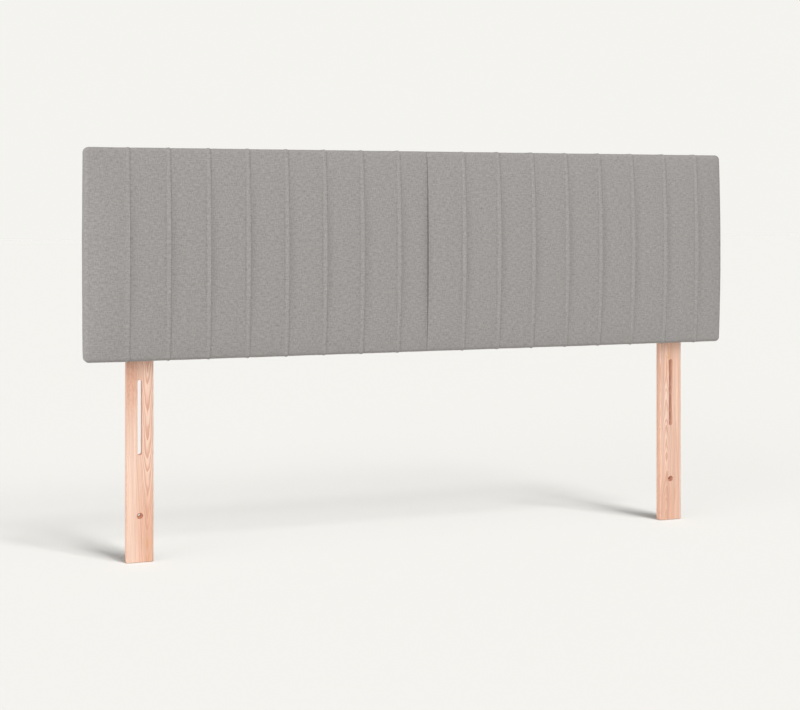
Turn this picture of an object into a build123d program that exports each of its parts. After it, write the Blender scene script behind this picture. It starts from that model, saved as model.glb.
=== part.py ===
# A wide upholstered headboard panel on two slotted wooden legs.
#
# A light timber frame carries a hardboard face, a sheet of foam and a fabric cover
# sewn from two halves, each with eight upright tucks. The padding is flat in the middle
# and falls back towards the edges. The cover is folded round the frame and stapled
# behind it, under a backing cloth. Each leg is clamped on the back
# by two bolts that run in a long slot, so that the panel can be set higher or lower.
#
# X runs along the width, Y from the padded front to the back, Z up from the floor.
# The panel is drawn in the middle of its travel. Lengths are in millimetres.

from build123d import *
import os

os.makedirs("parts", exist_ok=True)

# Panel
panel_width = 1450
panel_height = 430
panel_bottom = 410
corner_radius = 10
edge_radius = 9

# Layers of the panel, from the front of the tucks to the back
tuck_rise = 1.2
cover_front_thickness = 2
foam_edge_thickness = 8
board_thickness = 3
frame_thickness = 15
cover_thickness = 0.8
cloth_thickness = 0.4

# Padding: it is flat in the middle and falls back towards all four edges
crown_drop = 5.5
crown_reach = 140

# Cover: tucks, seams and the margin that is stapled behind the frame
tuck_pitch = 82
left_half_first_tuck = 91.5
right_half_first_tuck = 93
least_last_strip = 40
tuck_width = 9.5
seam_width = 1.6
seam_depth = 1.2
tuck_crest_width = 3
margin_width = 40
cloth_inset = 22

# Clearance between the curved edges of the cover and what fills it
filling_clearance = 0.3

# Frame
rail_width = 45
stile_width = 45
leg_batten_width = 65

# Legs
leg_width = 55
leg_thickness = 18
wood_above_slot = 34.25
leg_inset = 87
leg_edge_radius = 2.2
foot_edge_radius = 2

# Slot in each leg for the bolts to the bed
slot_width = 9.5
bed_slot_bottom = 217
bed_slot_length = 153

# Screw hole near each foot, sunk from the front
fixing_hole_height = 94.5
fixing_hole_radius = 2.75
fixing_sink_radius = 6.5
fixing_sink_depth = 9

# Height setting
travel_up = 50
travel_down = 50
slot_end_spare = 1

# Leg bolts, their washers and the nuts driven into the leg battens
lower_bolt_above_panel_bottom = 105
bolts_per_leg = 2
bolt_spacing = 100
bolt_radius = 4
bolt_length = 35
bolt_head_flats = 13
bolt_head_height = 5.3
bolt_head_chamfer = 0.9
bolt_hole_clearance = 0.5
washer_radius = 12
washer_thickness = 1.6
washer_chamfer = 0.4
washer_clearance = 0.2
nut_flange_radius = 9.5
nut_flange_thickness = 1.2
nut_barrel_radius = 5
nut_length = 11
nut_thread_clearance = 0.05
nut_seat_clearance = 0.05

# Staples
staple_crown = 10
staple_wire_width = 1
staple_wire_thickness = 0.6
staple_prong = 6
board_staple_prong = 10
cover_staple_inset = 12
cover_staple_spacing = 60
cloth_staple_inset = 8
cloth_staple_spacing = 92
board_staple_spacing = 110
leg_path_clearance = 6

# Corrugated fasteners that hold the frame's joints
fastener_length = 25
fastener_depth = 8
fastener_sheet = 0.5
fastener_wave = 2.5
fastener_waves = 5
fastener_offset = 12

# One overrun for every cut
cut_overrun = 5

# Planes, as depths behind the front of the tucks
strip_plane = tuck_rise
foam_front = strip_plane + cover_front_thickness
board_front = foam_front + crown_drop + foam_edge_thickness
frame_front = board_front + board_thickness
frame_back = frame_front + frame_thickness
margin_back = frame_back + cover_thickness
cloth_back = margin_back + cloth_thickness
leg_back = cloth_back + leg_thickness
washer_back = leg_back + washer_thickness
overall_depth = washer_back + bolt_head_height

# What fills the cover
core_width = panel_width - 2 * cover_thickness
core_height = panel_height - 2 * cover_thickness
cavity_corner = corner_radius - cover_thickness
cavity_edge = edge_radius - cover_front_thickness
core_corner = cavity_corner + filling_clearance
foam_edge = cavity_edge + filling_clearance / 2
upright_length = core_height - 2 * rail_width

# Heights
panel_middle = panel_bottom + panel_height / 2
core_bottom = panel_bottom + cover_thickness
core_top = core_bottom + core_height
lowest_bolt = panel_bottom + lower_bolt_above_panel_bottom
bolt_heights = [lowest_bolt + number * bolt_spacing for number in range(bolts_per_leg)]
height_slot_bottom = bolt_heights[0] - travel_down - slot_end_spare - slot_width / 2
height_slot_top = bolt_heights[-1] + travel_up + slot_end_spare + slot_width / 2
leg_length = height_slot_top + wood_above_slot

# Places along the width
leg_middle = panel_width / 2 - leg_inset - leg_width / 2
stile_middle = core_width / 2 - stile_width / 2

left_side = -1
right_side = 1

# In degrees
quarter_turn = 90


def depth(behind_front):
    """Y of a plane that lies so far behind the front of the tucks."""
    return behind_front - overall_depth / 2


def slab(width, height, front, back, middle=0, centre_height=panel_middle, corner=0):
    """Upright slab between two depths, with its four outline corners rounded if asked."""
    outline = RectangleRounded(width, height, corner) if corner else Rectangle(width, height)
    solid = extrude(Plane.XZ * outline, -(back - front))
    return Pos(middle, depth(front), centre_height) * solid


def rod(radius, middle, height, front, back):
    """Round bar along Y between two depths."""
    bar = extrude(Plane.XZ * Circle(radius), -(back - front))
    return Pos(middle, depth(front), height) * bar


def upright_slot(middle, bottom, top, front, back):
    """Cutter for a slot with round ends that runs up a leg."""
    outline = Rot(0, 0, quarter_turn) * SlotOverall(top - bottom, slot_width)
    cutter = extrude(Plane.XZ * outline, -(back - front))
    return Pos(middle, depth(front), (bottom + top) / 2) * cutter


def padding(width, height, front, back, corner, edge):
    """Block with a crowned front and rounded front edges and corners."""
    block = slab(width, height, front, back, corner=corner)
    side_view = Plane.YZ * Pos(0, panel_middle) * crowned_section(height, front, back, edge)
    plan = Plane((0, 0, panel_middle), x_dir=(0, 1, 0), z_dir=(0, 0, -1))
    plan_view = plan * crowned_section(width, front, back, edge)
    return block & extrude(side_view, width, both=True) & extrude(plan_view, height, both=True)


def crowned_section(span, front, back, edge):
    """Section of the padding, depth by span: flat in the middle, then falling back to its ends.

    An arc that leaves the flat smoothly drops to each end, and a quarter circle rounds it off.
    """
    half = span / 2
    flat_end = half - crown_reach
    shoulder = depth(front + crown_drop)
    edge_start = shoulder + edge
    lines = [Line((depth(back), -half), (depth(back), half))]
    lines.append(Line((depth(front), -flat_end), (depth(front), flat_end)))
    for end in (left_side, right_side):
        lines.append(Line((depth(back), end * half), (edge_start, end * half)))
        lines.append(
            TangentArc(
                (depth(front), end * flat_end), (shoulder, end * (half - edge)), tangent=(0, end)
            )
        )
    lines.append(CenterArc((edge_start, edge - half), edge, 2 * quarter_turn, quarter_turn))
    lines.append(CenterArc((edge_start, half - edge), edge, quarter_turn, quarter_turn))
    return Face(Wire(lines))


def seam_places():
    """Places of all tuck seams. Each half has as many as leave a last strip of a fair width."""
    places = []
    halves = (
        (left_half_first_tuck - panel_width / 2, -least_last_strip),
        (right_half_first_tuck, panel_width / 2 - least_last_strip),
    )
    for first, last in halves:
        for number in range(int((last - first) // tuck_pitch) + 1):
            places.append(first + number * tuck_pitch)
    return places


def tuck_folds():
    """Upright folds, seen from above a wedge that rises to a narrow crest beside its seam."""
    folds = []
    for seam in seam_places():
        right = seam - seam_width / 2
        outline = Polyline(
            (seam - tuck_width, depth(frame_front)),
            (seam - tuck_width, depth(strip_plane)),
            (right - tuck_crest_width, depth(0)),
            (right, depth(0)),
            (right, depth(frame_front)),
            close=True,
        )
        folds.append(extrude(Pos(0, 0, panel_bottom) * make_face(outline), panel_height))
    return folds


def seam_bars():
    """Narrow upright bars in front of the board, one on each seam and one on the middle seam."""
    bars = []
    for seam in seam_places() + [0]:
        bars.append(slab(seam_width, panel_height + 2 * cut_overrun, -cut_overrun, board_front, middle=seam))
    return bars


def cover():
    """Fabric cover: crowned front, tucks and seams, edges and the margin folded behind."""
    size = (panel_width, panel_height)
    outer = padding(*size, strip_plane, margin_back, corner_radius, edge_radius)
    crests = padding(*size, 0, margin_back, corner_radius, edge_radius)
    groove_floor = padding(*size, strip_plane + seam_depth, margin_back, corner_radius, edge_radius)
    for fold in tuck_folds():
        outer += fold & crests
    for bar in seam_bars():
        outer -= bar - groove_floor
    opening = slab(
        panel_width - 2 * margin_width,
        panel_height - 2 * margin_width,
        frame_front,
        margin_back + cut_overrun,
    )
    cavity = padding(core_width, core_height, foam_front, frame_back, cavity_corner, cavity_edge)
    return outer - cavity - opening


def cover_half(whole, side):
    """Half of the cover, up to the middle seam."""
    half = slab(panel_width / 2, panel_height, 0, margin_back, middle=side * panel_width / 4)
    return whole & half


def foam():
    """Sheet of foam glued to the hardboard, drawn down and rounded at its edges."""
    return padding(core_width, core_height, foam_front, board_front, core_corner, foam_edge)


def facing_board():
    """Hardboard that closes the front of the frame and carries the foam."""
    return slab(core_width, core_height, board_front, frame_front, corner=core_corner)


def rail(centre_height):
    """Rail as long as the frame, its outer corners rounded to suit the cover."""
    bar = slab(core_width, rail_width, frame_front, frame_back, centre_height=centre_height)
    return bar & slab(core_width, core_height, frame_front, frame_back, corner=core_corner)


def upright(width, middle):
    """Upright of the frame, cut to fit between the two rails."""
    return slab(width, upright_length, frame_front, frame_back, middle=middle)


def leg_batten(side):
    """Wide upright behind which a leg is bolted, bored for its two nuts and bolts."""
    middle = side * leg_middle
    batten = upright(leg_batten_width, middle)
    for height in bolt_heights:
        barrel_end = frame_front + nut_length
        batten -= rod(
            nut_flange_radius + nut_seat_clearance,
            middle, height, frame_front - cut_overrun, frame_front + nut_flange_thickness,
        )
        batten -= rod(nut_barrel_radius + nut_seat_clearance, middle, height, frame_front, barrel_end)
        batten -= rod(bolt_radius + bolt_hole_clearance, middle, height, frame_front, frame_back + cut_overrun)
    return batten


def back_cloth():
    """Backing cloth stretched over the margins of the cover, pierced for the bolts."""
    cloth = slab(
        panel_width - 2 * cloth_inset, panel_height - 2 * cloth_inset, margin_back, cloth_back
    )
    for side in (left_side, right_side):
        for height in bolt_heights:
            cloth -= rod(
                bolt_radius + bolt_hole_clearance,
                side * leg_middle, height, margin_back - cut_overrun, cloth_back + cut_overrun,
            )
    return cloth


def leg(side):
    """Slotted wooden leg with eased edges and a sunk screw hole near the foot."""
    middle = side * leg_middle
    bar = slab(leg_width, leg_length, cloth_back, leg_back, middle=middle, centre_height=leg_length / 2)
    bar = fillet(bar.edges().filter_by(Axis.Z), leg_edge_radius)
    foot = bar.faces().sort_by(Axis.Z)[0]
    bar = fillet(foot.edges(), foot_edge_radius)
    front = cloth_back - cut_overrun
    back = leg_back + cut_overrun
    bar -= upright_slot(middle, bed_slot_bottom, bed_slot_bottom + bed_slot_length, front, back)
    bar -= upright_slot(middle, height_slot_bottom, height_slot_top, front, back)
    bar -= rod(fixing_sink_radius, middle, fixing_hole_height, front, cloth_back + fixing_sink_depth)
    bar -= rod(fixing_hole_radius, middle, fixing_hole_height, front, back)
    return bar


def leg_bolts(side):
    """Two hexagon bolts that clamp a leg from behind."""
    bolts = []
    for height in bolt_heights:
        shank = rod(bolt_radius, side * leg_middle, height, washer_back - bolt_length, washer_back)
        bolts.append(shank + bolt_head(side * leg_middle, height))
    return Compound(bolts)


def bolt_head(middle, height):
    """Hexagon head whose corners are turned off on its outer face."""
    hexagon = RegularPolygon(bolt_head_flats / 2, 6, major_radius=False)
    prism = Pos(middle, depth(washer_back), height) * extrude(Plane.XZ * hexagon, -bolt_head_height)
    blank = rod(hexagon.radius, middle, height, washer_back, overall_depth)
    return prism & chamfer(blank.edges().sort_by(Axis.Y)[-1], bolt_head_chamfer)


def leg_washers(side):
    """Two wide washers that spread the bolts' load over the slot."""
    washers = []
    for height in bolt_heights:
        disc = rod(washer_radius, side * leg_middle, height, leg_back, washer_back)
        disc = chamfer(disc.edges().sort_by(Axis.Y)[-1], washer_chamfer)
        bore = rod(
            bolt_radius + washer_clearance,
            side * leg_middle, height, leg_back - cut_overrun, washer_back + cut_overrun,
        )
        washers.append(disc - bore)
    return Compound(washers)


def leg_nuts(side):
    """Two flanged nuts driven into a leg batten from its front."""
    nuts = []
    for height in bolt_heights:
        middle = side * leg_middle
        flange = rod(nut_flange_radius, middle, height, frame_front, frame_front + nut_flange_thickness)
        barrel = rod(nut_barrel_radius, middle, height, frame_front, frame_front + nut_length)
        thread = rod(
            bolt_radius + nut_thread_clearance,
            middle, height, frame_front - cut_overrun, frame_front + nut_length + cut_overrun,
        )
        nuts.append(flange + barrel - thread)
    return Compound(nuts)


def staple(middle, height, crown_front, prong, prongs_forward, upright_crown):
    """One staple: a flat crown between two depths and two prongs driven into the wood."""
    crown_back = crown_front + staple_wire_thickness
    prong_front = crown_front - prong if prongs_forward else crown_front
    prong_back = crown_back if prongs_forward else crown_back + prong
    prong_offset = (staple_crown - staple_wire_width) / 2
    crown_size = (staple_wire_width, staple_crown) if upright_crown else (staple_crown, staple_wire_width)
    body = slab(*crown_size, crown_front, crown_back, middle=middle, centre_height=height)
    for end in (left_side, right_side):
        across = 0 if upright_crown else end * prong_offset
        along = end * prong_offset if upright_crown else 0
        body += slab(
            staple_wire_width, staple_wire_width, prong_front, prong_back,
            middle=middle + across, centre_height=height + along,
        )
    return body


def evenly(length, spacing):
    """Places along a length, evenly spaced about its middle, at most one spacing apart."""
    count = max(round(length / spacing), 1)
    step = length / count
    return [(number + 1 / 2) * step - length / 2 for number in range(count)]


def clear_of_legs(middle):
    """Whether a staple at this place stays out of the path of both legs."""
    reach = leg_width / 2 + staple_crown / 2 + leg_path_clearance
    return abs(abs(middle) - leg_middle) > reach


def ring_of_staples(inset, spacing, crown_front):
    """Staples all round the back of the panel, except in the path of the legs."""
    across = panel_width - 2 * inset
    upward = panel_height - 2 * inset
    staples = []
    for row in (left_side, right_side):
        for place in evenly(across, spacing):
            if clear_of_legs(place):
                height = panel_middle + row * upward / 2
                staples.append(staple(place, height, crown_front, staple_prong, True, False))
        for place in evenly(upward - spacing, spacing):
            height = panel_middle + place
            staples.append(staple(row * across / 2, height, crown_front, staple_prong, True, True))
    return Compound(staples)


def board_staples():
    """Staples sunk flush in the face of the hardboard, over each rail and upright."""
    staples = []
    for row in (left_side, right_side):
        height = panel_middle + row * (core_height - rail_width) / 2
        for place in evenly(core_width, board_staple_spacing):
            staples.append(staple(place, height, board_front, board_staple_prong, False, False))
    for middle in (-stile_middle, 0, stile_middle):
        for place in evenly(upright_length, board_staple_spacing):
            height = panel_middle + place
            staples.append(staple(middle, height, board_front, board_staple_prong, False, True))
    return Compound(staples)


def corrugated_fastener(middle, height):
    """One waved steel strip, driven flush across a joint of the frame."""
    step = fastener_length / fastener_waves
    edge = []
    for number in range(fastener_waves + 1):
        swing = fastener_wave / 2 if number % 2 else -fastener_wave / 2
        edge.append((swing, number * step - fastener_length / 2))
    other_edge = [(swing + fastener_sheet, along) for swing, along in reversed(edge)]
    face = make_face(Polyline(*edge, *other_edge, close=True))
    strip = extrude(Plane.XZ * face, -fastener_depth)
    return Pos(middle, depth(frame_back - fastener_depth), height) * strip


def frame_fasteners():
    """Two corrugated fasteners across each joint of an upright with a rail."""
    strips = []
    for middle in (-stile_middle, -leg_middle, 0, leg_middle, stile_middle):
        for row in (left_side, right_side):
            joint = panel_middle + row * upright_length / 2
            for side in (left_side, right_side):
                strips.append(corrugated_fastener(middle + side * fastener_offset, joint))
    return Compound(strips)


whole_cover = cover()

nodes = {
    "left_cover": cover_half(whole_cover, left_side),
    "right_cover": cover_half(whole_cover, right_side),
    "foam_sheet": foam(),
    "facing_board": facing_board(),
    "top_rail": rail(core_top - rail_width / 2),
    "bottom_rail": rail(core_bottom + rail_width / 2),
    "left_stile": upright(stile_width, -stile_middle),
    "right_stile": upright(stile_width, stile_middle),
    "middle_upright": upright(stile_width, 0),
    "left_leg_batten": leg_batten(left_side),
    "right_leg_batten": leg_batten(right_side),
    "frame_fasteners": frame_fasteners(),
    "board_staples": board_staples(),
    "cover_staples": ring_of_staples(cover_staple_inset, cover_staple_spacing, margin_back),
    "back_cloth": back_cloth(),
    "cloth_staples": ring_of_staples(cloth_inset + cloth_staple_inset, cloth_staple_spacing, cloth_back),
    "left_leg": leg(left_side),
    "right_leg": leg(right_side),
    "left_leg_nuts": leg_nuts(left_side),
    "right_leg_nuts": leg_nuts(right_side),
    "left_leg_bolts": leg_bolts(left_side),
    "right_leg_bolts": leg_bolts(right_side),
    "left_leg_washers": leg_washers(left_side),
    "right_leg_washers": leg_washers(right_side),
}

for name, shape in nodes.items():
    export_step(shape, f"parts/{name}.step")
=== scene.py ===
"""Looks of a wide upholstered headboard on two slotted wooden legs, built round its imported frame.

Everything is in metres. X runs along the width, Y from the padded front to the back, Z up
from the floor. The covers, the foam, the backing cloth and the seam thread are new meshes;
the wooden and metal parts keep their own shape and get a finish.
"""

import logging
import math
from dataclasses import dataclass, field, replace
from enum import Enum

import bmesh
import bpy
import numpy as np
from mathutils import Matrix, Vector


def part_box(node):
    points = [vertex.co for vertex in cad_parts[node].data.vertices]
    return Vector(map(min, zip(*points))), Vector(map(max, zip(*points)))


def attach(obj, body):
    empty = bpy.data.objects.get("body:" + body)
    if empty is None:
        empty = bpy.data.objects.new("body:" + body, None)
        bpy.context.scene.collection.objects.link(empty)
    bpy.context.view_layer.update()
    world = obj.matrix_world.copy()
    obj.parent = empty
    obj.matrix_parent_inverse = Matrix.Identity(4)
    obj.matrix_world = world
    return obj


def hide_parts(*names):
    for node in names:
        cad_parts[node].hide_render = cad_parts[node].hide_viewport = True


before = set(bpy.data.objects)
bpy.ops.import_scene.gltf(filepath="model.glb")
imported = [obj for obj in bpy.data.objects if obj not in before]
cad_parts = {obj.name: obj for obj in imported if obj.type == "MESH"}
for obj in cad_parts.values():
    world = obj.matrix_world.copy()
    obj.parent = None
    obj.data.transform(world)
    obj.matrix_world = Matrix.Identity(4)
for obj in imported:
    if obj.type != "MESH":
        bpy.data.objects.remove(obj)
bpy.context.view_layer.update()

log = logging.getLogger("headboard")

MM = 0.001
# Lengths and angles that differ by less than this count as equal.
TINY = 1e-9
# Shortest and longest of the waves that are added up, as shares of their typical length.
WAVE_SHARES = (0.7, 1.5)

Triple = tuple[float, float, float]
Colour = Triple
Span = tuple[float, float]
Runs = tuple[tuple[int, float], ...]
Grid = tuple[np.ndarray, np.ndarray, np.ndarray]
Socket = bpy.types.NodeSocket


class Side(Enum):
    """Which end of the headboard a part belongs to, with the sign of its X."""

    LEFT = -1
    RIGHT = 1


class Swell(Enum):
    """How the cloth's swell between its seams is found."""

    SIMULATED = "simulated"
    FORMULA = "formula"


class Grain(Enum):
    """Which way the grain of a board runs: the number of its axis."""

    LEVEL = 0
    UPRIGHT = 2


def smooth(t: np.ndarray) -> np.ndarray:
    """Smooth step: nought below 0, one above 1, three t squared less two t cubed between."""
    t = np.clip(t, 0.0, 1.0)
    return t * t * (3.0 - 2.0 * t)


def bell(away: np.ndarray, width: float) -> np.ndarray:
    """Bell shape: exp of minus the square of the distance over the width."""
    return np.exp(-((away / width) ** 2))


def mixed(low: float, high: float, share: np.ndarray) -> np.ndarray:
    """Value a share of the way from low to high."""
    return low + (high - low) * share


def waves(x: np.ndarray, z: np.ndarray, length: float, seed: int, count: int = 7) -> np.ndarray:
    """Gentle unevenness: a sum of sine waves in seeded directions, about one high.

    Args:
        x: Places along the width.
        z: Heights, shaped like x.
        length: Typical wave length.
        seed: Seed of the random draws.
        count: How many waves are added.

    Returns:
        The sum of sines of (x cos a + z sin a) two pi over a length, plus a phase.
    """
    draw = np.random.default_rng(seed)
    total = np.zeros(np.broadcast(x, z).shape)
    shortest, longest = WAVE_SHARES
    lowest, highest = (0, shortest, 0), (math.pi, longest, math.tau)
    for angle, share, phase in draw.uniform(lowest, highest, (count, 3)):
        along = x * math.cos(angle) + z * math.sin(angle)
        total = total + np.sin(math.tau * along / (length * share) + phase)
    return total / math.sqrt(count)


def spaced(runs: Runs) -> np.ndarray:
    """Distances reached by runs of steps, each given as how many and how long."""
    return np.cumsum(np.concatenate([np.full(count, step) for count, step in runs]))


def filled(fixed: np.ndarray, parts: np.ndarray) -> np.ndarray:
    """Fixed places with even steps between them, a given number of them in each gap."""
    runs = [np.linspace(a, b, n + 1)[:-1] for a, b, n in zip(fixed, fixed[1:], parts)]
    return np.r_[np.concatenate(runs), fixed[-1]]


def fine_enough(fixed: np.ndarray, spacing: float) -> np.ndarray:
    """Fixed places with even steps between them, none of them longer than the spacing."""
    return filled(fixed, np.maximum(np.ceil(np.diff(fixed) / spacing).astype(int), 1))


def grid_faces(rows: int, columns: int, first: int = 0) -> np.ndarray:
    """Corner numbers of the quads between the points of a rows by columns grid.

    Args:
        rows: Points along the first parameter.
        columns: Points along the second parameter.
        first: Number of the grid's first point.

    Returns:
        One row of four point numbers for each quad.
    """
    number = first + np.arange(rows * columns).reshape(rows, columns)
    quads = np.stack([number[:-1, :-1], number[:-1, 1:], number[1:, 1:], number[1:, :-1]], axis=-1)
    return quads.reshape(-1, 4)


def put_mesh(name: str, points: np.ndarray, faces: np.ndarray, uv: np.ndarray | None = None,
             weld: float = 0.0, caps: tuple[np.ndarray, ...] = ()) -> bpy.types.Object:
    """Make a smooth-shaded object at the origin from arrays of points and quads.

    Args:
        name: Name of the piece.
        points: Places, one row each.
        faces: Corner numbers, one row for each quad.
        uv: Flat cloth coordinates of the points, in metres.
        weld: Points nearer than this become one.
        caps: Further faces, each with any number of corners.

    Returns:
        The new object.
    """
    mesh = bpy.data.meshes.new(name)
    mesh.from_pydata(points.tolist(), [], faces.tolist() + [cap.tolist() for cap in caps])
    if uv is not None:
        layer = mesh.uv_layers.new(name="cloth")
        layer.data.foreach_set("uv", uv[faces.ravel()].astype(np.float32).ravel())
    if weld:
        work = bmesh.new()
        work.from_mesh(mesh)
        bmesh.ops.remove_doubles(work, verts=work.verts, dist=weld)
        bmesh.ops.dissolve_degenerate(work, edges=work.edges, dist=weld / 10)
        work.to_mesh(mesh)
        work.free()
    mesh.update()
    mesh.shade_smooth()
    piece = bpy.data.objects.new(name, mesh)
    bpy.context.scene.collection.objects.link(piece)
    return piece


def add_wall(piece: bpy.types.Object, thickness: float) -> None:
    """Give a single surface the thickness of its cloth, inwards from its face.

    Args:
        piece: The object whose mesh is a single surface.
        thickness: Thickness of the cloth.
    """
    wall = piece.modifiers.new("cloth_thickness", "SOLIDIFY")
    wall.thickness = thickness
    wall.offset = -1.0
    wall.use_even_offset = False


@dataclass
class PanelSizes:
    """Sizes of the upholstered panel, taken from the frame where it has them."""

    corner_radius: float = 10 * MM
    edge_radius: float = 9 * MM
    cloth_thickness: float = 0.8 * MM
    tuck_rise: float = 1.2 * MM
    margin_width: float = 40 * MM
    edge_drop: float = 3.2 * MM
    edge_fade: float = 25 * MM
    wide_drop: float = 3.8 * MM
    wide_fade: float = 75 * MM
    left: float = field(init=False)
    right: float = field(init=False)
    bottom: float = field(init=False)
    top: float = field(init=False)
    strip_y: float = field(init=False)
    back_y: float = field(init=False)

    def __post_init__(self) -> None:
        """Read the panel's box from the two cover nodes."""
        low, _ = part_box("left_cover")
        _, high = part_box("right_cover")
        self.left, self.right = low.x, high.x
        self.bottom, self.top = low.z, high.z
        self.strip_y = low.y + self.tuck_rise
        self.back_y = high.y

    @property
    def height(self) -> float:
        """Height of the panel."""
        return self.top - self.bottom

    @property
    def crown_drop(self) -> float:
        """How far the padding falls back from its middle to its rounded edges."""
        return self.edge_drop + self.wide_drop

    @property
    def edge_slope(self) -> float:
        """Angle, in radians, at which the crown runs into the rounded edge."""
        return math.atan(self.edge_drop / self.edge_fade + self.wide_drop / self.wide_fade)

    @property
    def edge_start(self) -> float:
        """Distance from the panel's outline at which the rounded edge starts."""
        return self.edge_radius * (1.0 - math.sin(self.edge_slope))

    def fall(self, inset: np.ndarray) -> np.ndarray:
        """Share of the crown's drop: the sum of a short and a long exponential fade.

        Args:
            inset: Distance in from the panel's outline.

        Returns:
            One at the rounded edge, falling towards nought inwards.
        """
        inwards = np.maximum(inset - self.edge_start, 0.0)
        short = self.edge_drop * np.exp(-inwards / self.edge_fade)
        return (short + self.wide_drop * np.exp(-inwards / self.wide_fade)) / self.crown_drop

    def joined(self, ends: np.ndarray, edges: np.ndarray) -> np.ndarray:
        """Drop for two shares of it that both count and never pass one: a plus b less a b."""
        return self.crown_drop * (ends + edges - ends * edges)

    def crown(self, x: np.ndarray, z: np.ndarray) -> np.ndarray:
        """How far the padding lies behind its middle, for both its ends and its edges."""
        ends = self.fall(np.minimum(x - self.left, self.right - x))
        return self.joined(ends, self.fall(np.minimum(z - self.bottom, self.top - z)))


@dataclass
class TuckSizes:
    """Sizes of the sewn tucks and of the middle seam."""

    pitch: float = 82 * MM
    count: int = 8
    left_first: float = 89.3 * MM
    right_first: float = 87.4 * MM
    fold_width: float = 9.5 * MM
    strip_rise: float = 3.2 * MM
    rise_reach: float = 30 * MM
    step_height: float = 3.6 * MM
    edge_step_height: float = 0.2 * MM
    crest_height: float = 1.9 * MM
    edge_crest_height: float = 1.0 * MM
    crest_round: float = 1.2 * MM
    crest_power: float = 1.3
    edge_crest_power: float = 1.4
    drop_lead_share: float = 0.25
    crease_depth: float = 1.1 * MM
    crease_width: float = 2.2 * MM
    groove_depth: float = 0.6 * MM
    groove_width: float = 1.1 * MM
    edge_groove_share: float = 0.7
    shoulder: float = 3.8 * MM
    shoulder_reach: float = 16 * MM
    middle_fade: float = 9 * MM
    lip_shift: float = 1.8 * MM
    lip_reach: float = 22 * MM
    shortest_fade_share: float = 0.03
    longest_fade_share: float = 0.40
    early_share: float = 0.7
    middle_slit: float = 3.4 * MM
    middle_slit_width: float = 1.1 * MM
    edge_slit_share: float = 0.2
    middle_valley: float = 2.6 * MM
    middle_reach: float = 5 * MM
    middle_shoulder: float = 2.0 * MM
    pucker: float = 0.12 * MM
    pucker_length: float = 7.6 * MM
    pucker_reach: float = 4 * MM
    pucker_waver: float = 2.0
    pucker_waver_length: float = 50 * MM
    pucker_seed: int = 5

    def seams(self, panel: PanelSizes, side: Side) -> np.ndarray:
        """Places of the tuck seams in one half of the cover."""
        start = panel.left + self.left_first if side is Side.LEFT else self.right_first
        return start + self.pitch * np.arange(self.count)

    def fullness(self, panel: PanelSizes, z: np.ndarray) -> np.ndarray:
        """How far the folds are open: a quick opening mixed with a slow one.

        With t the share of the way in, the quick one is 1 - (1 - t) squared and the slow
        one is t squared.

        Args:
            panel: Sizes of the panel.
            z: Heights.

        Returns:
            Nought at the top and bottom edges, one from mid height.
        """
        share = np.minimum(z - panel.bottom, panel.top - z) / panel.height
        way = self.longest_fade_share - self.shortest_fade_share
        t = np.clip((share - self.shortest_fade_share) / way, 0, 1)
        return mixed(t**2, 1 - (1 - t) ** 2, self.early_share)

    def fold(self, away: np.ndarray, full: np.ndarray, drop: np.ndarray) -> np.ndarray:
        """Height of the fold itself, which rises to its crest and drops over a narrow lip.

        Over the share of its width it climbs as a power at mid height, and as a half sine
        near the edges.

        Args:
            away: Distance to the right of the seam's visible line.
            full: How far the fold is open, from 0 to 1.
            drop: Nought before the seam, one beyond it.

        Returns:
            Height towards the viewer.
        """
        band = np.clip((away + self.fold_width) / (self.fold_width - self.crest_round / 2), 0, 1)
        crest = mixed(self.edge_crest_height, self.crest_height, full)
        arch = np.sin(math.pi * band**self.edge_crest_power)
        return crest * mixed(arch, band**self.crest_power, full) * (1 - drop)

    def relief(self, x: np.ndarray, away: np.ndarray, full: np.ndarray,
               first: np.ndarray) -> np.ndarray:
        """Height of the cloth over its strip, beside a tuck's seam.

        Each strip climbs evenly like a shingle from one seam to the next. There its fold
        leaves a bell-shaped crease, rises, and drops into a bell-shaped groove. Beyond the
        seam the cloth falls on along half a parabola.

        Args:
            x: Places along the width; the climb fades out at the middle seam.
            away: Distance to the right of the seam's visible line.
            full: How far the fold is open there, from 0 to 1.
            first: One on the panel's very first tuck, which has no crease.

        Returns:
            Height towards the viewer.
        """
        drop = smooth((away + self.crest_round / 2) / self.crest_round + self.drop_lead_share)
        crease = self.crease_depth * full * (1 - first) * bell(away + self.fold_width,
                                                               self.crease_width)
        groove = self.groove_depth * mixed(self.edge_groove_share, 1, full)
        groove = groove * bell(away, self.groove_width)
        fall = self.shoulder * full * drop * np.clip(1 - away / self.shoulder_reach, 0, 1) ** 2
        step = mixed(self.edge_step_height, self.step_height, full)
        ramp = step * np.clip(away / self.pitch + 1 - drop, 0, 1) * (1 - bell(x, self.middle_fade))
        return self.fold(away, full, drop) - crease - groove + fall + ramp

    def pillow(self, full: np.ndarray, inset: np.ndarray) -> np.ndarray:
        """How far the strips swell: most at mid height, fading exponentially to the ends."""
        return self.strip_rise * full * (1 - np.exp(-np.maximum(inset, 0) / self.rise_reach))

    def middle(self, away: np.ndarray, full: np.ndarray) -> np.ndarray:
        """Height of the cloth beside the middle seam.

        The left half sinks exponentially towards it, the right half stands up over its turned
        seam edge and falls off exponentially, and a bell-shaped slit lies between them.

        Args:
            away: Distance to the right of the middle seam.
            full: How far the folds are open there, from 0 to 1.

        Returns:
            Height towards the viewer.
        """
        near = np.exp(-np.abs(away) / self.middle_reach)
        slit = bell(away, self.middle_slit_width)
        sides = np.where(away < 0, -self.middle_valley, self.middle_shoulder) * full * near
        depth = self.middle_slit * mixed(self.edge_slit_share, 1, full)
        return sides * (1 - slit) - depth * slit

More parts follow.
